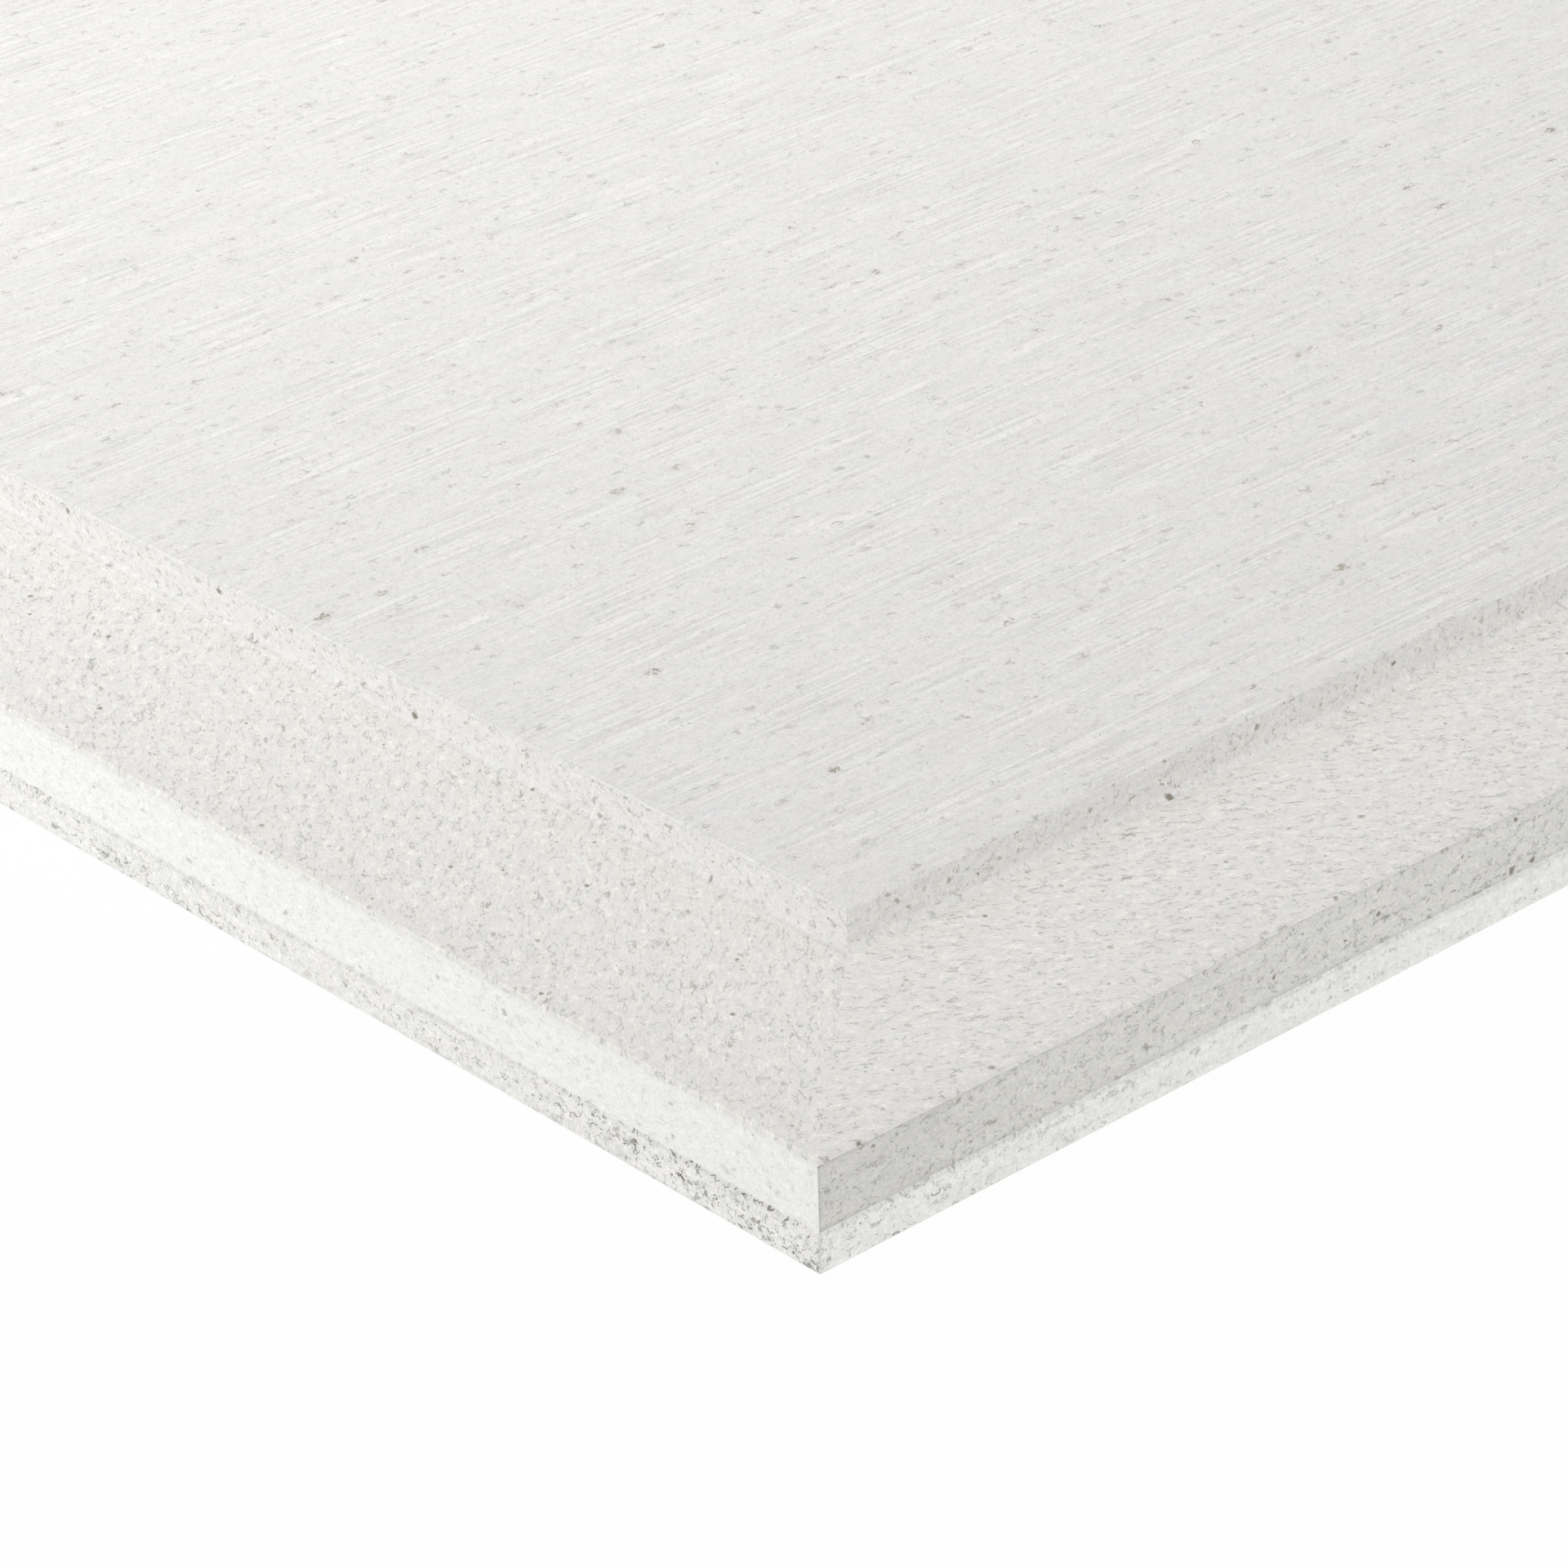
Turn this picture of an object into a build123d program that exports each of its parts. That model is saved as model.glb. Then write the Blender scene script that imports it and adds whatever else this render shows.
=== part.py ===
from build123d import *
import os

# A gypsum fibreboard sheet lying on its back, face up, in millimetres.
# X runs along the sheet, Y across it, Z up from the floor.
# The origin is the middle of the underside.

# Outside of the sheet
SHEET_LENGTH = 1200.0
SHEET_WIDTH = 600.0
SHEET_THICKNESS = 18.0

# Rebate milled round the face: a step down to a wide flat shelf, with a soft root
END_REBATE_WIDTH = 30.0
SIDE_REBATE_WIDTH = 28.0
REBATE_DEPTH = 5.0
COVE_RADIUS = 0.8

# Edge below the shelf: the band is trimmed back a little behind the sawn strip under it
STRIP_HEIGHT = 4.4
BAND_SETBACK = 0.4

# Small broken arrises of the face, the shelf and the underside
FACE_ARRIS = 0.25
SHELF_ARRIS = 0.45
UNDERSIDE_ARRIS = 0.4


def section(half_span, rebate_width):
    """Draw the sheet's section upright: the outline of one half, then its mirror image."""
    shelf_level = SHEET_THICKNESS - REBATE_DEPTH
    band_line = half_span - BAND_SETBACK
    wall_line = band_line - rebate_width
    cove_foot = (wall_line + COVE_RADIUS, shelf_level)
    cove_top = (wall_line, shelf_level + COVE_RADIUS)
    with BuildSketch() as outline:
        with BuildLine():
            Polyline(
                (0, 0),
                (half_span - UNDERSIDE_ARRIS, 0),
                (half_span, UNDERSIDE_ARRIS),
                (half_span, STRIP_HEIGHT),
                (band_line, STRIP_HEIGHT + BAND_SETBACK),
                (band_line, shelf_level - SHELF_ARRIS),
                (band_line - SHELF_ARRIS, shelf_level),
                cove_foot,
            )
            RadiusArc(cove_foot, cove_top, COVE_RADIUS)
            Polyline(
                cove_top,
                (wall_line, SHEET_THICKNESS - FACE_ARRIS),
                (wall_line - FACE_ARRIS, SHEET_THICKNESS),
                (0, SHEET_THICKNESS),
                (0, 0),
            )
        make_face()
        mirror(about=Plane.YZ)
    return outline.sketch


# The cross section runs the whole length. The long section, run across, then trims both ends,
# so every step, arris and cove meets its neighbour in a mitre at the four corners.
with BuildPart() as fibreboard_sheet:
    with BuildSketch(Plane.YZ):
        add(section(SHEET_WIDTH / 2, SIDE_REBATE_WIDTH))
    extrude(amount=SHEET_LENGTH / 2, both=True)
    with BuildSketch(Plane.XZ):
        add(section(SHEET_LENGTH / 2, END_REBATE_WIDTH))
    extrude(amount=SHEET_WIDTH / 2, both=True, mode=Mode.INTERSECT)
fibreboard_sheet.part.label = "fibreboard_sheet"

os.makedirs("parts", exist_ok=True)
export_step(fibreboard_sheet.part, "parts/fibreboard_sheet.step")
print("solids:", len(fibreboard_sheet.part.solids()))
print("volume, litres:", round(fibreboard_sheet.part.volume / 1e6, 4))
print("size:", fibreboard_sheet.part.bounding_box().size)
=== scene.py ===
import math

import bpy
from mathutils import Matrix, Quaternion, Vector, noise


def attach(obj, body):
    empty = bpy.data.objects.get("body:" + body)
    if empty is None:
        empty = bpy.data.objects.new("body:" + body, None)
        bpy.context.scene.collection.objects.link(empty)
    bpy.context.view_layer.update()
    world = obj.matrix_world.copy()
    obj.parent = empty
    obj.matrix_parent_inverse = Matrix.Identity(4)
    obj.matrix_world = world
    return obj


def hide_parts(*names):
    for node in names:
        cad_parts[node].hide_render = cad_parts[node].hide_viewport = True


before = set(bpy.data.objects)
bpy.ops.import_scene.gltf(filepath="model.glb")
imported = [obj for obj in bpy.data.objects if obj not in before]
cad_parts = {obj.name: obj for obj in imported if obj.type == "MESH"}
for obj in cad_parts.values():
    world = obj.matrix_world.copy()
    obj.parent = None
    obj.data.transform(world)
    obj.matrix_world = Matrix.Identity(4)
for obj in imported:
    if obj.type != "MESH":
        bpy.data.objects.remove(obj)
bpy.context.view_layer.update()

# Sizes are in metres, in the sheet's own frame: X along it, Y across it, Z up. Patterns are in millimetres.
MM_PER_METRE = 1000.0
MM = 1 / MM_PER_METRE
LENGTH = 1200 * MM
WIDTH = 600 * MM
THICKNESS = 18 * MM

# The section of an edge, from the underside up
UNDERSIDE_ARRIS = 0.4 * MM
STRIP_HEIGHT = 4.4 * MM
BAND_SETBACK = 0.4 * MM
SHELF_LEVEL = 13 * MM
SHELF_ARRIS = 0.45 * MM
END_REBATE_WIDTH = 30 * MM
SIDE_REBATE_WIDTH = 28 * MM
COVE_RADIUS = 0.8 * MM
FACE_ARRIS = 0.25 * MM


# Shader nodes and groups
def new_group(name, inputs, outputs):
    """Start a shader node group with named sockets, and give back the tree and its two end nodes."""
    tree = bpy.data.node_groups.new(name, "ShaderNodeTree")
    for socket, kind, default in inputs:
        made = tree.interface.new_socket(socket, in_out="INPUT", socket_type="NodeSocket" + kind)
        if default is not None:
            made.default_value = default
    for socket, kind in outputs:
        tree.interface.new_socket(socket, in_out="OUTPUT", socket_type="NodeSocket" + kind)
    return tree, tree.nodes.new("NodeGroupInput"), tree.nodes.new("NodeGroupOutput")


def wire(tree, value, socket):
    """Feed a socket from another socket, or set it to a plain value."""
    if isinstance(value, bpy.types.NodeSocket):
        tree.links.new(value, socket)
    elif value is not None:
        socket.default_value = value


def math_node(tree, operation, a, b=None, c=None, clamp=False):
    node = tree.nodes.new("ShaderNodeMath")
    node.operation = operation
    node.use_clamp = clamp
    for value, socket in zip((a, b, c), node.inputs):
        wire(tree, value, socket)
    return node.outputs[0]


def vector_node(tree, operation, a, b=None, scale=None):
    node = tree.nodes.new("ShaderNodeVectorMath")
    node.operation = operation
    wire(tree, a, node.inputs[0])
    wire(tree, b, node.inputs[1])
    if scale is not None:
        wire(tree, scale, node.inputs["Scale"])
    return node.outputs["Vector"]


def range_node(tree, value, low, high, to_low=0.0, to_high=1.0):
    """Map a value softly from one range to another, held at both ends."""
    node = tree.nodes.new("ShaderNodeMapRange")
    node.interpolation_type = "SMOOTHSTEP"
    limits = {"From Min": low, "From Max": high, "To Min": to_low, "To Max": to_high}
    for name, given in {"Value": value, **limits}.items():
        wire(tree, given, node.inputs[name])
    return node.outputs["Result"]


def mix_colour(tree, factor, a, b):
    node = tree.nodes.new("ShaderNodeMix")
    node.data_type = "RGBA"
    wire(tree, factor, node.inputs["Factor"])
    wire(tree, a, node.inputs["A"])
    wire(tree, b, node.inputs["B"])
    return node.outputs["Result"]


def flat_noise(tree, vector, scale, detail, roughness=0.5):
    """Noise over a flat surface, read from two axes only."""
    node = tree.nodes.new("ShaderNodeTexNoise")
    node.noise_dimensions = "2D"
    settings = {"Vector": vector, "Scale": scale, "Detail": detail, "Roughness": roughness}
    for name, given in settings.items():
        wire(tree, given, node.inputs[name])
    return node


def centred(tree, value, gain):
    """A noise value moved round 0 and made stronger."""
    return math_node(tree, "MULTIPLY", math_node(tree, "SUBTRACT", value, 0.5), gain)


def make_grain_group():
    """Pressed gypsum and paper fibre: uneven grain, and curled fibres that turn from dark to pale."""
    tree, ends, out = new_group(
        "board grain",
        [
            ("Vector", "Vector", None),
            ("Size", "Float", 0.9),
            ("Harsh", "Float", 0.8),
            ("Fibre Width", "Float", 0.03),
        ],
        [
            ("Light", "Float"),
            ("Warmth", "Float"),
            ("Dark Fibre", "Float"),
            ("Pale Fibre", "Float"),
            ("Torn", "Vector"),
        ],
    )
    scale = math_node(tree, "DIVIDE", 1.0, ends.outputs["Size"])
    grain = flat_noise(tree, ends.outputs["Vector"], scale, 2.0, ends.outputs["Harsh"])
    parts = tree.nodes.new("ShaderNodeSeparateColor")
    wire(tree, grain.outputs["Color"], parts.inputs[0])
    fine_scale = math_node(tree, "DIVIDE", 2.9, ends.outputs["Size"])
    fine = flat_noise(tree, ends.outputs["Vector"], fine_scale, 1.0, 0.7)
    coarse = centred(tree, parts.outputs["Red"], 2.0)
    wire(tree, math_node(tree, "ADD", centred(tree, fine.outputs[0], 4.0), coarse), out.inputs["Light"])
    wire(tree, centred(tree, parts.outputs["Red"], 4.0), out.inputs["Warmth"])
    level = math_node(tree, "ABSOLUTE", math_node(tree, "SUBTRACT", parts.outputs["Green"], 0.5))
    fibre = range_node(tree, level, 0.0, ends.outputs["Fibre Width"], 1.0, 0.0)
    dark = range_node(tree, parts.outputs["Blue"], 0.49, 0.42)
    pale = range_node(tree, parts.outputs["Blue"], 0.51, 0.58)
    wire(tree, math_node(tree, "MULTIPLY", fibre, dark), out.inputs["Dark Fibre"])
    wire(tree, math_node(tree, "MULTIPLY", fibre, pale), out.inputs["Pale Fibre"])
    wire(tree, vector_node(tree, "SUBTRACT", grain.outputs["Color"], (0.5, 0.5, 0.5)), out.inputs["Torn"])
    return tree


def make_fleck_group():
    """Scattered flecks: some cells hold one, torn, sized and toned by chance, with a stain round it."""
    tree, ends, out = new_group(
        "board flecks",
        [
            ("Vector", "Vector", None),
            ("Torn", "Vector", None),
            ("Ragged", "Float", 0.5),
            ("Cell", "Float", 3.0),
            ("Share", "Float", 0.3),
            ("Radius", "Float", 0.3),
        ],
        [("Mask", "Float"), ("Halo", "Float"), ("Tone", "Float")],
    )
    push = vector_node(tree, "SCALE", ends.outputs["Torn"], scale=ends.outputs["Ragged"])
    cells = tree.nodes.new("ShaderNodeTexVoronoi")
    cells.voronoi_dimensions = "2D"
    cells.feature = "F1"
    wire(tree, vector_node(tree, "ADD", ends.outputs["Vector"], push), cells.inputs["Vector"])
    wire(tree, math_node(tree, "DIVIDE", 1.0, ends.outputs["Cell"]), cells.inputs["Scale"])
    chance = tree.nodes.new("ShaderNodeSeparateColor")
    wire(tree, cells.outputs["Color"], chance.inputs[0])
    held = math_node(tree, "LESS_THAN", chance.outputs["Red"], ends.outputs["Share"])
    far = math_node(tree, "MULTIPLY", cells.outputs["Distance"], ends.outputs["Cell"])
    size = math_node(tree, "POWER", chance.outputs["Green"], 2.0)
    grown = math_node(tree, "MULTIPLY_ADD", size, 1.3, 0.5)
    radius = math_node(tree, "MULTIPLY", ends.outputs["Radius"], grown)
    shape = range_node(tree, far, math_node(tree, "MULTIPLY", radius, 0.35), radius, 1.0, 0.0)
    wire(tree, math_node(tree, "MULTIPLY", shape, held), out.inputs["Mask"])
    halo_start = math_node(tree, "MULTIPLY", radius, 0.8)
    halo_end = math_node(tree, "MULTIPLY", radius, 2.3)
    halo = range_node(tree, far, halo_start, halo_end, 1.0, 0.0)
    wire(tree, math_node(tree, "MULTIPLY", halo, held), out.inputs["Halo"])
    wire(tree, math_node(tree, "MULTIPLY_ADD", chance.outputs["Blue"], 0.75, 0.25), out.inputs["Tone"])
    return tree


def stretched(tree, vector, along, across):
    """A place on the surface, shortened so that marks come out long one way and thin the other."""
    split = tree.nodes.new("ShaderNodeSeparateXYZ")
    wire(tree, vector, split.inputs[0])
    place = tree.nodes.new("ShaderNodeCombineXYZ")
    wire(tree, math_node(tree, "DIVIDE", split.outputs["X"], along), place.inputs["X"])
    wire(tree, math_node(tree, "DIVIDE", split.outputs["Y"], across), place.inputs["Y"])
    return place.outputs[0]


def make_cloud_group():
    """Soft clouds of tone and warmth, drawn out one way, each round 0."""
    tree, ends, out = new_group(
        "board clouds",
        [("Vector", "Vector", None), ("Along", "Float", 16.0), ("Across", "Float", 5.0)],
        [("Light", "Float"), ("Warmth", "Float")],
    )
    place = stretched(tree, ends.outputs["Vector"], ends.outputs["Along"], ends.outputs["Across"])
    parts = tree.nodes.new("ShaderNodeSeparateColor")
    wire(tree, flat_noise(tree, place, 1.0, 1.0).outputs["Color"], parts.inputs[0])
    wire(tree, centred(tree, parts.outputs["Red"], 4.0), out.inputs["Light"])
    wire(tree, centred(tree, parts.outputs["Green"], 4.0), out.inputs["Warmth"])
    return tree


def make_line_group():
    """Crisp fine lines left by a belt sander, in patches: a value round 0."""
    tree, ends, out = new_group(
        "sanding lines",
        [("Vector", "Vector", None), ("Run", "Float", 12.0), ("Spacing", "Float", 0.6)],
        [("Value", "Float")],
    )
    place = stretched(tree, ends.outputs["Vector"], ends.outputs["Run"], ends.outputs["Spacing"])
    marks = flat_noise(tree, place, 1.0, 1.0, 0.6)
    pale = range_node(tree, marks.outputs[0], 0.53, 0.64)
    dark = range_node(tree, marks.outputs[0], 0.47, 0.36)
    held = math_node(tree, "SUBTRACT", pale, dark)
    patch = flat_noise(tree, stretched(tree, ends.outputs["Vector"], 17.0, 6.0), 1.0, 0.0)
    shown = range_node(tree, patch.outputs[0], 0.40, 0.62, 0.25, 1.0)
    wire(tree, math_node(tree, "MULTIPLY", held, shown), out.inputs["Value"])
    return tree


GRAIN = make_grain_group()
FLECKS = make_fleck_group()
CLOUDS = make_cloud_group()
LINES = make_line_group()


def place_group(tree, group, **values):
    """Put a group in a material and set its sockets by name."""
    node = tree.nodes.new("ShaderNodeGroup")
    node.node_tree = group
    for name, given in values.items():
        wire(tree, given, node.inputs[name.replace("_", " ")])
    return node


# The board's finishes are all matt. ROSY is what a warm patch adds to the colour and a cool one takes away.
BOARD_ROUGHNESS = 0.9
BOARD_SHINE = 0.2
GREY_FLECK = (0.30, 0.29, 0.265)
BROWN_FLECK = (0.20, 0.165, 0.12)
STAIN = (0.52, 0.475, 0.39)
ROSY = (0.6, -0.1, -0.6)

# How far clouds, lines and flecks are moved off the grain, so that they don't follow it
CLOUD_SHIFT = 31.0
LINE_SHIFT = 7.0
GREY_SHIFT = 3.0
BROWN_SHIFT = 13.0


class BoardFinish:
    """One finish of the board: a base tone that clouds, grain, fibres, lines and flecks change.

    The pattern lies in the two axes that the surface runs along. It is drawn out along the first, or along
    a line that is turned from it.
    """

    def __init__(self, name, colour, axes, seed=0.0, turn=0.0, stretch=1.0):
        self.material = bpy.data.materials.new(name)
        self.material.use_nodes = True
        self.tree = self.material.node_tree
        self.shader = self.tree.nodes["Principled BSDF"]
        self.shader.inputs["Roughness"].default_value = BOARD_ROUGHNESS
        self.shader.inputs["Specular IOR Level"].default_value = BOARD_SHINE
        coords = self.tree.nodes.new("ShaderNodeTexCoord")
        split = self.tree.nodes.new("ShaderNodeSeparateXYZ")
        self.tree.links.new(coords.outputs["Object"], split.inputs[0])
        self.place = split.outputs
        self.away = {}
        self.seed = seed
        self.stretch = stretch
        self.torn = None
        first, second = (split.outputs[axis] for axis in axes)
        along, across = math.cos(math.radians(turn)), math.sin(math.radians(turn))
        if turn:
            self.along = self.mixed(first, along, second, across)
            self.across = self.mixed(first, -across, second, along)
        else:
            self.along, self.across = first, second
        self.colour = (*colour, 1.0)

    def mixed(self, first, one, second, other):
        """One axis times a number plus another axis times a second number."""
        part = math_node(self.tree, "MULTIPLY", second, other)
        return math_node(self.tree, "MULTIPLY_ADD", first, one, part)

    def laid_out(self, stretch, shift=0.0):
        """A place on the surface in millimetres, shortened along the first line to draw the pattern out."""
        place = self.tree.nodes.new("ShaderNodeCombineXYZ")
        first = math_node(self.tree, "MULTIPLY_ADD", self.along, MM_PER_METRE / stretch, self.seed + shift)
        second = math_node(self.tree, "MULTIPLY_ADD", self.across, MM_PER_METRE, self.seed + 2 * shift)
        wire(self.tree, first, place.inputs["X"])
        wire(self.tree, second, place.inputs["Y"])
        return place.outputs[0]

    def tint(self, amount, strength):
        """Brighten or darken by a value round 0."""
        factor = math_node(self.tree, "MULTIPLY_ADD", amount, strength, 1.0)
        colour = self.colour[:3] if isinstance(self.colour, tuple) else self.colour
        self.colour = vector_node(self.tree, "SCALE", colour, scale=factor)

    def warm(self, amount, strength):
        """Shift towards a rosy beige or towards a cool green-grey by a value round 0."""
        strength = math_node(self.tree, "MULTIPLY", amount, strength)
        change = vector_node(self.tree, "SCALE", ROSY, scale=strength)
        self.colour = vector_node(self.tree, "ADD", self.colour, change)

    def cover(self, mask, colour, strength=1.0):
        """Lay a second colour over the first where the mask is."""
        factor = math_node(self.tree, "MULTIPLY", mask, strength, clamp=True)
        self.colour = mix_colour(self.tree, factor, self.colour, (*colour, 1.0))

    def clouds(self, light, warmth, along, across):
        """Soft clouds of tone and warmth, so many millimetres long and wide."""
        vector = self.laid_out(1.0, CLOUD_SHIFT)
        parts = place_group(self.tree, CLOUDS, Vector=vector, Along=along, Across=across)
        self.tint(parts.outputs["Light"], light)
        self.warm(parts.outputs["Warmth"], warmth)

    def grain(self, light, warmth, size, dark, pale, width=0.035, harsh=0.8):
        """Uneven grain, with dark and pale fibres where the two strengths ask for them."""
        vector = self.laid_out(self.stretch)
        parts = place_group(self.tree, GRAIN, Vector=vector, Size=size, Harsh=harsh, Fibre_Width=width)
        self.tint(parts.outputs["Light"], light)
        self.warm(parts.outputs["Warmth"], warmth)
        self.tint(parts.outputs["Dark Fibre"], dark)
        self.tint(parts.outputs["Pale Fibre"], pale)
        self.torn = parts.outputs["Torn"]

    def lines(self, light, run, spacing):
        """Sanding lines of a length and a spacing in millimetres."""
        vector = self.laid_out(1.0, LINE_SHIFT)
        marks = place_group(self.tree, LINES, Vector=vector, Run=run, Spacing=spacing)
        self.tint(marks.outputs["Value"], light)

    def flecks(self, colour, strength, shift, cell, radius, share, ragged, stretch=None, halo=0.0):
        """Flecks laid on after the grain, whose unevenness tears their rims, and the stain round them."""
        spots = place_group(
            self.tree,
            FLECKS,
            Vector=self.laid_out(stretch or self.stretch, shift),
            Torn=self.torn,
            Ragged=ragged,
            Cell=cell,
            Share=share,
            Radius=radius,
        )
        if halo:
            self.cover(spots.outputs["Halo"], STAIN, halo)
        mask = math_node(self.tree, "MULTIPLY", spots.outputs["Mask"], spots.outputs["Tone"])
        self.cover(mask, colour, strength)

    def grey_flecks(self, strength, cell, radius, share, ragged, stretch=None):
        self.flecks(GREY_FLECK, strength, GREY_SHIFT, cell, radius, share, ragged, stretch)

    def brown_flecks(self, strength, cell, radius, share, ragged, stretch=None, halo=0.0):
        self.flecks(BROWN_FLECK, strength, BROWN_SHIFT, cell, radius, share, ragged, stretch, halo)

    def reach(self, axis):
        """How many millimetres a point is from the sheet's middle or its underside."""
        if axis not in self.away:
            length = math_node(self.tree, "ABSOLUTE", self.place[axis])
            self.away[axis] = math_node(self.tree, "MULTIPLY", length, MM_PER_METRE)
        return self.away[axis]

    def line_at(self, axis, level, width, light):
        """Darken or lighten beside a line round the sheet, softly out to a width on both sides."""
        gap = math_node(self.tree, "ABSOLUTE", math_node(self.tree, "SUBTRACT", self.reach(axis), level))
        self.tint(range_node(self.tree, gap, 0.0, width, 1.0, 0.0), light)

    def finish(self):
        """Hand the colour to the shader, and give back the material."""
        wire(self.tree, self.colour, self.shader.inputs["Base Color"])
        return self.material


# Lines round the sheet at the rims of its surfaces, where shade and light are painted, in millimetres from
# its middle or its underside
BAND_X = (LENGTH / 2 - BAND_SETBACK) * MM_PER_METRE
BAND_Y = (WIDTH / 2 - BAND_SETBACK) * MM_PER_METRE
WALL_X = BAND_X - END_REBATE_WIDTH * MM_PER_METRE
WALL_Y = BAND_Y - SIDE_REBATE_WIDTH * MM_PER_METRE
WALL_FOOT = SHELF_LEVEL * MM_PER_METRE + 0.2
WALL_TOP = THICKNESS * MM_PER_METRE - 0.1
BAND_TOP = SHELF_LEVEL * MM_PER_METRE - 0.5
BAND_FOOT = (STRIP_HEIGHT + BAND_SETBACK) * MM_PER_METRE
STRIP_TOP = STRIP_HEIGHT * MM_PER_METRE + 0.2
STRIP_FOOT = 0.1

# How far off its rim each line of painted shade lies: on the face, under the end's wall and on the shelves
FACE_SHADE_GAP = 0.1
WALL_SHADE_GAP = 0.3
SHELF_SHADE_GAP = 0.2

# The length of the sawn strip's torn patches, and the stretch over which it grows more torn near a corner
TORN_PATCH = 26.0
TORN_FROM_CORNER = 55.0
MOST_TORN_FROM_CORNER = 5.0


# The finishes
def sanded_face():
    """The belt-sanded face: fine lines along the sheet, mottled grain and flecks drawn out the same way."""
    board = BoardFinish("sanded_face", (0.816, 0.806, 0.788), "XY", stretch=1.35)
    board.clouds(0.018, 0.011, along=9.0, across=2.6)
    board.grain(0.054, 0.008, size=1.0, dark=-0.19, pale=0.08, width=0.04)
    board.lines(0.070, run=16.0, spacing=0.50)
    board.grey_flecks(0.46, cell=1.45, radius=0.31, share=0.4, ragged=2.2, stretch=1.6)
    board.brown_flecks(0.72, cell=6.0, radius=0.30, share=0.3, ragged=2.8, stretch=1.5, halo=0.24)
    # Painted shade: a narrow line on the face beside the end's arris, and a broad faint one towards the
    # side's arris
    board.line_at("X", WALL_X - FACE_SHADE_GAP, width=0.6, light=-0.09)
    board.line_at("Y", WALL_Y - FACE_SHADE_GAP, width=6.0, light=-0.02)
    return board.finish()


def milled_shelf(name, seed, turn, stretch):
    """The shelf cut by a milling head: warm, with curled fibres and many flecks."""
    board = BoardFinish(name, (0.840, 0.827, 0.795), "XY", seed, turn, stretch)
    board.clouds(0.020, 0.004, along=4.5, across=2.2)
    board.grain(0.058, 0.006, size=1.0, dark=-0.31, pale=0.14, width=0.05, harsh=0.55)
    board.grey_flecks(0.58, cell=1.25, radius=0.22, share=0.45, ragged=2.4)
    board.brown_flecks(0.85, cell=5.0, radius=0.26, share=0.5, ragged=0.5, stretch=1.1)
    return board


def end_shelf():
    """The shelf along an end: milled across the sheet, with painted shade at its outer arris and under the
    wall.
    """
    board = milled_shelf("end_shelf", seed=400.0, turn=48.0, stretch=2.2)
    board.line_at("X", BAND_X - SHELF_SHADE_GAP, width=0.4, light=-0.10)
    board.line_at("X", BAND_X - SHELF_SHADE_GAP, width=9.0, light=-0.018)
    board.line_at("X", WALL_X + WALL_SHADE_GAP, width=6.0, light=-0.028)
    return board.finish()


def side_shelf():
    """The shelf along a side: milled nearer to the sheet's length, with fainter painted shade at its outer
    arris.
    """
    board = milled_shelf("side_shelf", seed=500.0, turn=-30.0, stretch=1.9)
    board.line_at("Y", BAND_Y - SHELF_SHADE_GAP, width=0.4, light=-0.06)
    board.line_at("Y", BAND_Y - SHELF_SHADE_GAP, width=9.0, light=-0.018)
    return board.finish()


def milled_wall(name, colour, axes, seed, foot, top):
    """The low wall of the rebate, with fibres and flecks cut through, and painted shade (below 0) or
    painted light (above 0) along its foot and its top.
    """
    board = BoardFinish(name, colour, axes, seed, stretch=1.2)
    board.clouds(0.022, 0.004, along=4.0, across=1.6)
    board.grain(0.058, 0.006, size=0.95, dark=-0.26, pale=0.10, width=0.055, harsh=0.55)
    board.grey_flecks(0.70, cell=1.2, radius=0.27, share=0.5, ragged=2.0)
    board.brown_flecks(0.90, cell=3.2, radius=0.30, share=0.45, ragged=0.7, stretch=1.1)
    board.line_at("Z", WALL_FOOT, width=1.2, light=foot)
    board.line_at("Z", WALL_TOP, width=0.9, light=top)
    return board.finish()


def end_wall():
    """The wall along an end: painted shade at its foot and its top."""
    return milled_wall("end_wall", (0.764, 0.756, 0.737), "YZ", seed=600.0, foot=-0.02, top=-0.05)


def side_wall():
    """The wall along a side: paler, which is painted light, with more painted light at its foot."""
    return milled_wall("side_wall", (0.792, 0.784, 0.762), "XZ", seed=700.0, foot=0.04, top=0.0)


def trimmed_band(name, colour, axes, seed, cloud, light, fibre, grey, brown, foot, top):
    """The trimmed band under the shelf, with the given painted shade along its foot and its top."""
    board = BoardFinish(name, colour, axes, seed, stretch=1.5)
    board.clouds(cloud, 0.004, along=9.0, across=1.5)
    board.grain(light, 0.006, size=1.0, dark=-fibre, pale=0.08, width=0.05, harsh=0.55)
    board.grey_flecks(grey, cell=1.4, radius=0.32, share=0.5, ragged=2.2)
    board.brown_flecks(brown, cell=3.4, radius=0.30, share=0.45, ragged=1.0, stretch=1.2)
    board.line_at("Z", BAND_FOOT, width=0.8, light=foot)
    board.line_at("Z", BAND_TOP, width=0.7, light=top)
    return board


def end_band():
    """The band along an end: pale, with faint fibres, and painted shade along its top."""
    board = trimmed_band(
        "end_band",
        (0.808, 0.806, 0.789),
        "YZ",
        seed=800.0,
        cloud=0.010,
        light=0.046,
        fibre=0.16,
        grey=0.28,
        brown=0.50,
        foot=0.0,
        top=-0.05,
    )
    return board.finish()


def side_band():
    """The band along a side: darker, which is painted shade, and more fibrous, with painted shade that
    deepens towards the sheet's corners.
    """
    board = trimmed_band(
        "side_band",
        (0.748, 0.739, 0.708),
        "XZ",
        seed=900.0,
        cloud=0.040,
        light=0.078,
        fibre=0.36,
        grey=0.62,
        brown=0.90,
        foot=-0.11,
        top=-0.09,
    )
    # Painted shade near each corner: a narrow dark line down the corner, and a broad faint darkening that
    # spreads from it
    board.line_at("X", BAND_X, width=0.5, light=-0.182)
    board.line_at("X", BAND_X, width=45.0, light=-0.07)
    return board.finish()


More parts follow.
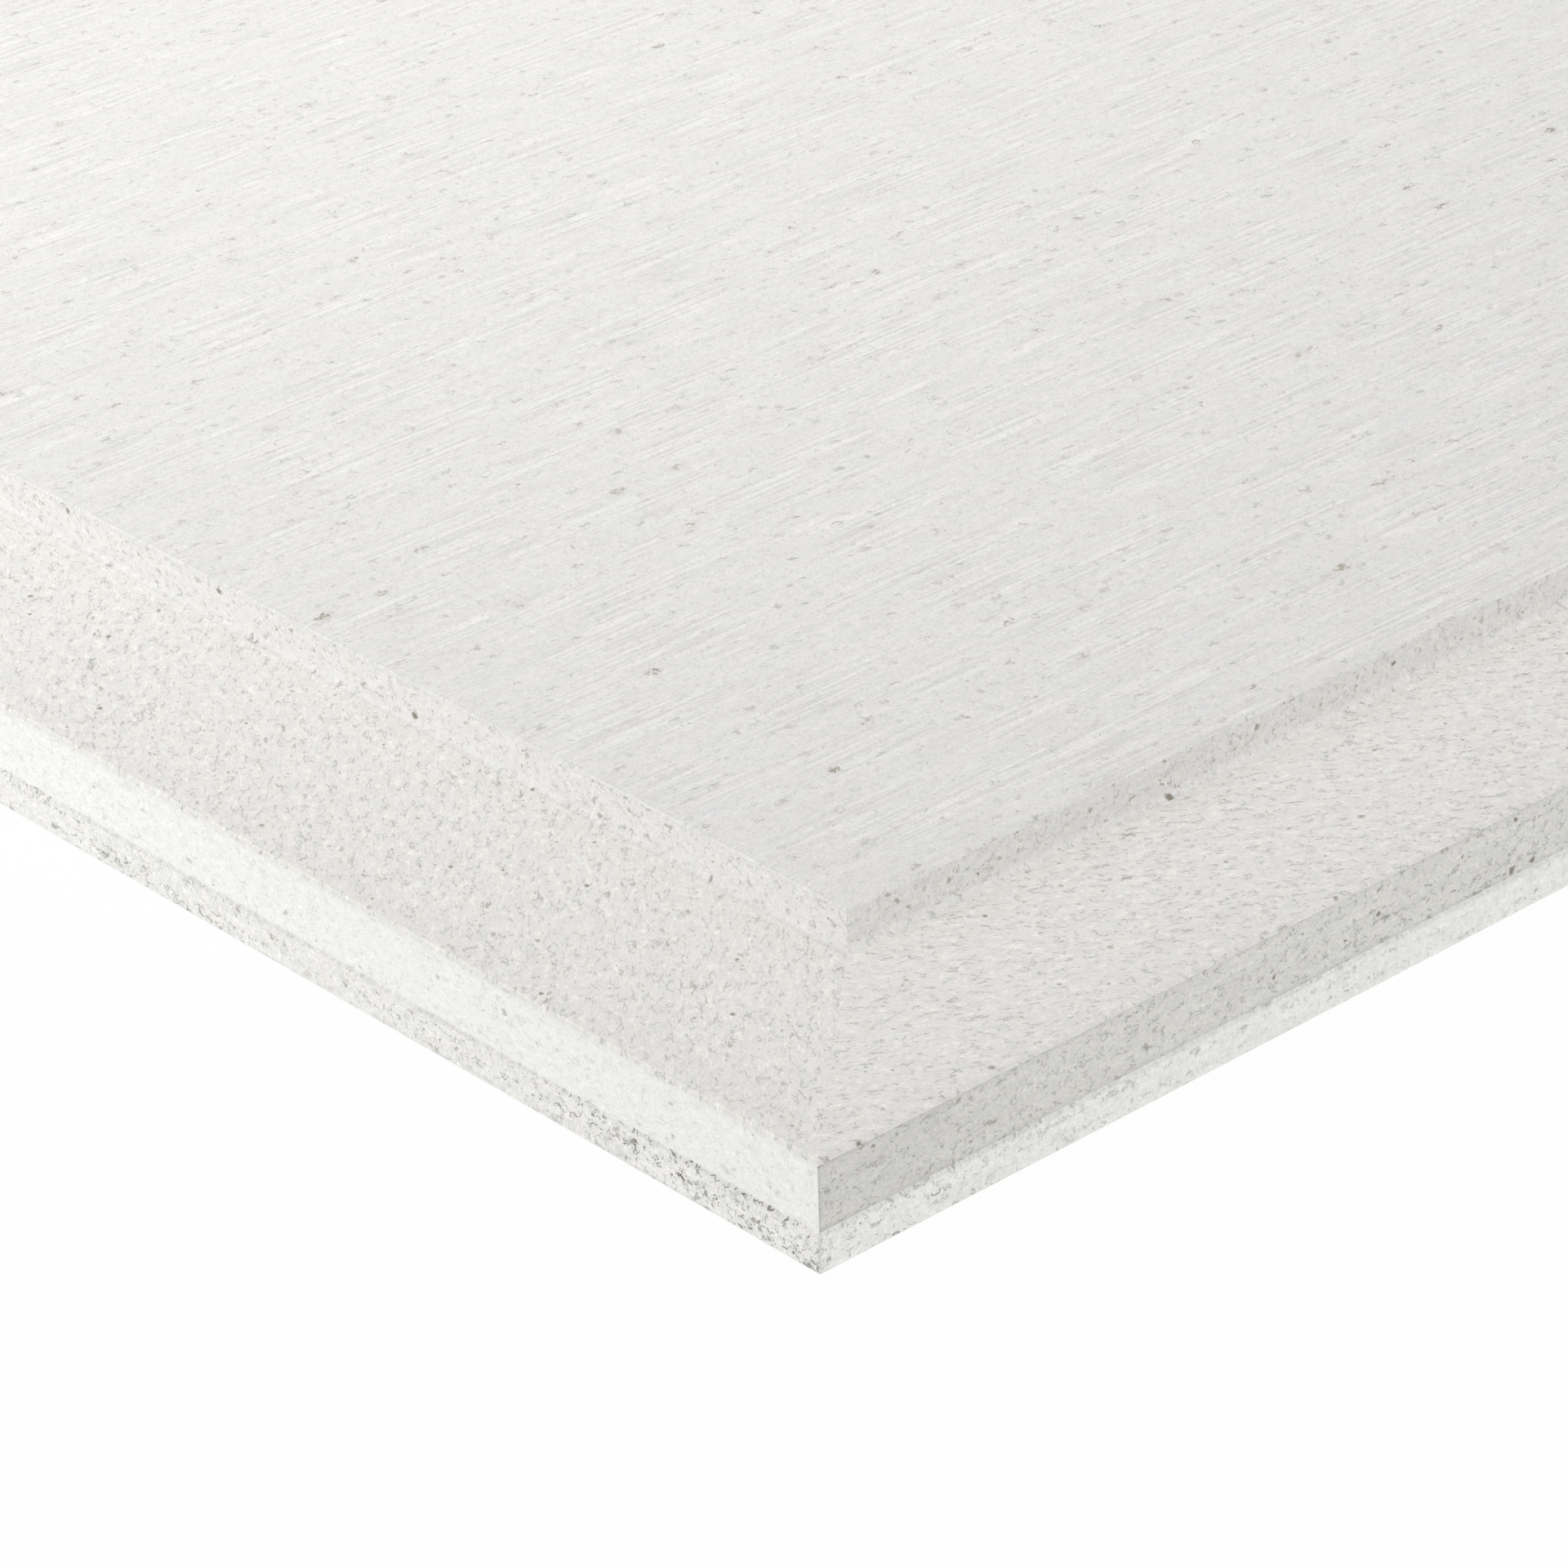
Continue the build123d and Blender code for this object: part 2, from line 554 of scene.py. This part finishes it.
def sawn_strip(name, colour, axes, seed, light, fibre, pits, foot, corner):
    """The sawn strip at the foot: coarse, with dark fibres and with flecks that are painted shade in torn
    pits, in patches and near corners.
    """
    board = BoardFinish(name, colour, axes, seed, stretch=1.2)
    board.clouds(0.4 * light, 0.004, along=4.0, across=1.6)
    patches = flat_noise(board.tree, board.laid_out(TORN_PATCH), 1.0, 0.0)
    patchy = range_node(board.tree, patches.outputs[0], 0.42, 0.62, 0.4, 1.3)
    starts = corner - TORN_FROM_CORNER
    ends = corner - MOST_TORN_FROM_CORNER
    near = range_node(board.tree, board.reach(axes[0]), starts, ends, 0.0, 0.95)
    torn = math_node(board.tree, "ADD", patchy, near)
    fibres = math_node(board.tree, "MULTIPLY", torn, -fibre)
    # The flecks here stand for torn pits: their darkness is painted shade
    painted_pit_shade = math_node(board.tree, "MULTIPLY", torn, pits)
    board.grain(light, 0.008, size=1.0, dark=fibres, pale=0.12, width=0.06, harsh=0.6)
    board.grey_flecks(painted_pit_shade, cell=1.1, radius=0.36, share=0.5, ragged=2.4)
    board.brown_flecks(painted_pit_shade, cell=2.6, radius=0.40, share=0.45, ragged=2.0)
    # Painted shade or painted light at the foot by the amount given, painted shade along the top under the
    # band, and a narrow dark line down each corner
    board.line_at("Z", STRIP_FOOT, width=0.9, light=foot)
    board.line_at("Z", STRIP_TOP, width=0.35, light=-0.10)
    board.line_at(axes[0], corner, width=0.5, light=-0.16)
    return board.finish()


def end_strip():
    """The strip along an end: the most torn, with painted shade at its foot."""
    return sawn_strip(
        "end_strip",
        (0.764, 0.756, 0.731),
        "YZ",
        seed=1000.0,
        light=0.090,
        fibre=0.42,
        pits=0.72,
        foot=-0.06,
        corner=WIDTH / 2 * MM_PER_METRE,
    )


def side_strip():
    """The strip along a side: paler, which is painted light, and cleaner, with painted light at its foot.
    """
    return sawn_strip(
        "side_strip",
        (0.90, 0.896, 0.868),
        "XZ",
        seed=1100.0,
        light=0.060,
        fibre=0.20,
        pits=0.38,
        foot=0.06,
        corner=LENGTH / 2 * MM_PER_METRE,
    )


def pressed_underside():
    """The back of the board: evenly pressed, with faint clouds and sparse flecks."""
    board = BoardFinish("pressed_underside", (0.80, 0.79, 0.765), "XY", seed=300.0, stretch=1.3)
    board.clouds(0.015, 0.006, along=24.0, across=14.0)
    board.grain(0.040, 0.006, size=1.0, dark=-0.10, pale=0.04)
    board.grey_flecks(0.35, cell=1.8, radius=0.28, share=0.45, ragged=1.6)
    return board.finish()


FINISHES = [
    sanded_face(),
    end_shelf(),
    side_shelf(),
    end_wall(),
    side_wall(),
    end_band(),
    side_band(),
    end_strip(),
    side_strip(),
    pressed_underside(),
]
SLOT_OF = {finish.name: slot for slot, finish in enumerate(FINISHES)}

# The finish of each zone of the section, along a side and along an end
ZONE_FINISHES = {
    "strip": ("side_strip", "end_strip"),
    "band": ("side_band", "end_band"),
    "shelf": ("side_shelf", "end_shelf"),
    "wall": ("side_wall", "end_wall"),
    "face": ("sanded_face", "sanded_face"),
}


# The sheet: spacing of the points along its edges
GRAIN_STEP = 0.85 * MM
COUNT_X = round(LENGTH / GRAIN_STEP)
COUNT_Y = round(WIDTH / GRAIN_STEP)
POINTS_ROUND = 2 * (COUNT_X + COUNT_Y)
COVE_STEPS = 6
SHARP_ANGLE = math.radians(32)

# How deep the arrises are chipped, how fine the chips are round the sheet and up it, and how rough
CHIP_DEPTH = 0.22 * MM
CHIPS_PER_METRE_ROUND = 420
CHIPS_PER_METRE_UP = 300
CHIP_ROUGHNESS = 0.8
CHIP_OCTAVE_STEP = 2.0
CHIP_OCTAVES = 3
RING_SEED_STEP = 7.0


def edge_section():
    """Rings from the underside up: (inset at the ends, inset at the sides, height, wear, zone above)."""
    inner = BAND_SETBACK + SHELF_ARRIS
    rings = [
        (UNDERSIDE_ARRIS, UNDERSIDE_ARRIS, 0.0, 0.0, "strip"),
        (0.0, 0.0, UNDERSIDE_ARRIS, 0.5, "strip"),
        (0.0, 0.0, STRIP_HEIGHT, 0.5, "strip"),
        (BAND_SETBACK, BAND_SETBACK, STRIP_HEIGHT + BAND_SETBACK, 0.2, "band"),
        (BAND_SETBACK, BAND_SETBACK, SHELF_LEVEL - SHELF_ARRIS, 0.4, "shelf"),
        (inner, inner, SHELF_LEVEL, 0.8, "shelf"),
    ]
    end_inset = BAND_SETBACK + END_REBATE_WIDTH
    side_inset = BAND_SETBACK + SIDE_REBATE_WIDTH
    for step in range(COVE_STEPS + 1):
        angle = math.radians(90 * step / COVE_STEPS)
        out = COVE_RADIUS * (1 - math.sin(angle))
        up = COVE_RADIUS * (1 - math.cos(angle))
        rings.append((end_inset - out, side_inset - out, SHELF_LEVEL + up, 0.0, "wall"))
    rings.append((end_inset, side_inset, THICKNESS - FACE_ARRIS, 0.5, "face"))
    rings.append((end_inset + FACE_ARRIS, side_inset + FACE_ARRIS, THICKNESS, 1.0, "face"))
    return rings


def chipped(x, y, z, wear, seed):
    """How far a point of an arris is worn back by chance."""
    spot = Vector((x * CHIPS_PER_METRE_ROUND, y * CHIPS_PER_METRE_ROUND, z * CHIPS_PER_METRE_UP + seed))
    chip = noise.fractal(spot, CHIP_ROUGHNESS, CHIP_OCTAVE_STEP, CHIP_OCTAVES)
    return CHIP_DEPTH * wear * min(max(chip, 0.0), 1.0)


def ring_points(inset_x, inset_y, z, wear, seed):
    """One closed ring round the sheet, anticlockwise from the corner that faces the camera."""
    half_x = LENGTH / 2 - inset_x
    half_y = WIDTH / 2 - inset_y
    corners = ((-half_x, -half_y), (half_x, -half_y), (half_x, half_y), (-half_x, half_y))
    counts = (COUNT_X, COUNT_Y, COUNT_X, COUNT_Y)
    inwards = ((0, 1), (-1, 0), (0, -1), (1, 0))
    points = []
    for side in range(4):
        x0, y0 = corners[side]
        x1, y1 = corners[(side + 1) % 4]
        inward = inwards[side]
        for i in range(counts[side]):
            t = i / counts[side]
            x = x0 + (x1 - x0) * t
            y = y0 + (y1 - y0) * t
            worn = chipped(x, y, z, wear, seed) if wear and i else 0.0
            points.append((x + inward[0] * worn, y + inward[1] * worn, z))
    return points


def ring_faces(level, zone):
    """The faces from one ring up to the next, each with the slot of its finish."""
    side_finish, end_finish = ZONE_FINISHES[zone]
    faces = []
    slots = []
    start = level * POINTS_ROUND
    for i in range(POINTS_ROUND):
        j = (i + 1) % POINTS_ROUND
        faces.append((start + i, start + j, start + POINTS_ROUND + j, start + POINTS_ROUND + i))
        on_side = i % (COUNT_X + COUNT_Y) < COUNT_X
        slots.append(SLOT_OF[side_finish if on_side else end_finish])
    return faces, slots


def make_sheet():
    """The whole board as one closed skin of rings, with a finish for each zone of its section."""
    rings = edge_section()
    verts = []
    faces = []
    slots = []
    for level, (inset_x, inset_y, z, wear, zone) in enumerate(rings):
        verts += ring_points(inset_x, inset_y, z, wear, level * RING_SEED_STEP)
        if level < len(rings) - 1:
            new_faces, new_slots = ring_faces(level, zone)
            faces += new_faces
            slots += new_slots
    faces.append(tuple(range(len(verts) - POINTS_ROUND, len(verts))))
    slots.append(SLOT_OF["sanded_face"])
    faces.append(tuple(reversed(range(POINTS_ROUND))))
    slots.append(SLOT_OF["pressed_underside"])
    mesh = bpy.data.meshes.new("rebated_sheet")
    mesh.from_pydata(verts, [], faces)
    for finish in FINISHES:
        mesh.materials.append(finish)
    mesh.polygons.foreach_set("material_index", slots)
    # the two large flat faces are set flat last, because marking the sharp edges sets every face smooth
    mesh.set_sharp_from_angle(angle=SHARP_ANGLE)
    mesh.polygons.foreach_set("use_smooth", [len(face) == 4 for face in faces])
    mesh.update()
    sheet = bpy.data.objects.new("rebated_sheet", mesh)
    bpy.context.scene.collection.objects.link(sheet)
    return sheet


sheet = make_sheet()
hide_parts("fibreboard_sheet")
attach(sheet, "root")


# Floor, light and camera. The floor is white to the camera alone, less a share that keeps a faint shadow.
FLOOR_REACH = 12.0
FLOOR_WHITENESS = 0.95
FLOOR_COLOUR = (0.95, 0.95, 0.95, 1)
WHITE = (1, 1, 1, 1)
WORLD_LIGHT = 0.738


def make_floor():
    """A plain pale studio floor."""
    mesh = bpy.data.meshes.new("studio_floor")
    corners = [(x * FLOOR_REACH, y * FLOOR_REACH, 0) for x, y in ((-1, -1), (1, -1), (1, 1), (-1, 1))]
    mesh.from_pydata(corners, [], [(0, 1, 2, 3)])
    floor = bpy.data.objects.new("studio_floor", mesh)
    bpy.context.scene.collection.objects.link(floor)
    material = bpy.data.materials.new("studio_floor")
    material.use_nodes = True
    nodes = material.node_tree.nodes
    links = material.node_tree.links
    shader = nodes["Principled BSDF"]
    shader.inputs["Base Color"].default_value = FLOOR_COLOUR
    shader.inputs["Roughness"].default_value = 1.0
    shader.inputs["Specular IOR Level"].default_value = 0.0
    white = nodes.new("ShaderNodeEmission")
    path = nodes.new("ShaderNodeLightPath")
    share = nodes.new("ShaderNodeMath")
    share.operation = "MULTIPLY"
    share.inputs[1].default_value = FLOOR_WHITENESS
    mix = nodes.new("ShaderNodeMixShader")
    links.new(path.outputs["Is Camera Ray"], share.inputs[0])
    links.new(share.outputs[0], mix.inputs[0])
    links.new(shader.outputs[0], mix.inputs[1])
    links.new(white.outputs[0], mix.inputs[2])
    links.new(mix.outputs[0], nodes["Material Output"].inputs["Surface"])
    mesh.materials.append(material)


def make_world():
    """Even light from all round, and plain white where the camera looks past the floor."""
    world = bpy.data.worlds.new("studio")
    world.use_nodes = True
    nodes = world.node_tree.nodes
    links = world.node_tree.links
    nodes.clear()
    light = nodes.new("ShaderNodeBackground")
    light.inputs["Color"].default_value = WHITE
    light.inputs["Strength"].default_value = WORLD_LIGHT
    white = nodes.new("ShaderNodeBackground")
    white.inputs["Color"].default_value = WHITE
    white.inputs["Strength"].default_value = 1.0
    path = nodes.new("ShaderNodeLightPath")
    mix = nodes.new("ShaderNodeMixShader")
    out = nodes.new("ShaderNodeOutputWorld")
    links.new(path.outputs["Is Camera Ray"], mix.inputs[0])
    links.new(light.outputs[0], mix.inputs[1])
    links.new(white.outputs[0], mix.inputs[2])
    links.new(mix.outputs[0], out.inputs["Surface"])
    bpy.context.scene.world = world


def place_lamp(name, lamp, place, aim):
    """Hang a lamp, turn it to what it lights, and keep it out of the picture."""
    holder = bpy.data.objects.new(name, lamp)
    holder.location = place
    holder.rotation_euler = (Vector(aim) - Vector(place)).to_track_quat("-Z", "Y").to_euler()
    holder.visible_camera = False
    bpy.context.scene.collection.objects.link(holder)


def make_softbox(name, place, aim, width, height, power):
    lamp = bpy.data.lights.new(name, "AREA")
    lamp.shape = "RECTANGLE"
    lamp.size = width
    lamp.size_y = height
    lamp.energy = power
    place_lamp(name, lamp, place, aim)


def make_spot(name, place, aim, size, blend, power, radius):
    lamp = bpy.data.lights.new(name, "SPOT")
    lamp.spot_size = math.radians(size)
    lamp.spot_blend = blend
    lamp.energy = power
    lamp.shadow_soft_size = radius
    place_lamp(name, lamp, place, aim)


make_floor()
make_world()

# A soft pool of light from the left lies on the near end of the sheet. A softbox fills each visible edge.
make_spot(
    "key_light",
    place=(-1.504, 0.0, 1.489),
    aim=(-0.486, 0.132, 0.0),
    size=13.74,
    blend=0.382,
    power=158.0,
    radius=0.35,
)
make_softbox(
    "end_softbox",
    place=(-2.975, 0.05, 0.725),
    aim=(-0.6, -0.25, 0.0),
    width=1.2,
    height=1.2,
    power=15.0,
)
make_softbox(
    "side_softbox",
    place=(0.5, -1.3, 0.18),
    aim=(-0.45, -0.3, 0.01),
    width=1.4,
    height=0.3,
    power=3.0,
)


# The camera: a long lens that looks down at the near corner, rolled a little
LENS = 158.3
SENSOR = 36.0
CAMERA_PLACE = Vector((-983.53, -726.98, 372.66)) * MM
CAMERA_AIM = Vector((-556.06 * MM, -247.26 * MM, THICKNESS))
CAMERA_ROLL = math.radians(-1.5)


def make_camera():
    """The photograph's view of the sheet."""
    data = bpy.data.cameras.new("camera")
    data.lens = LENS
    data.sensor_width = SENSOR
    data.clip_start = 0.01
    camera = bpy.data.objects.new("camera", data)
    camera.location = CAMERA_PLACE
    turn = (CAMERA_AIM - CAMERA_PLACE).to_track_quat("-Z", "Y")
    roll = Quaternion((0, 0, 1), CAMERA_ROLL)
    camera.rotation_euler = (turn @ roll).to_euler()
    bpy.context.scene.collection.objects.link(camera)
    bpy.context.scene.camera = camera


make_camera()
bpy.context.scene.view_settings.view_transform = "Standard"
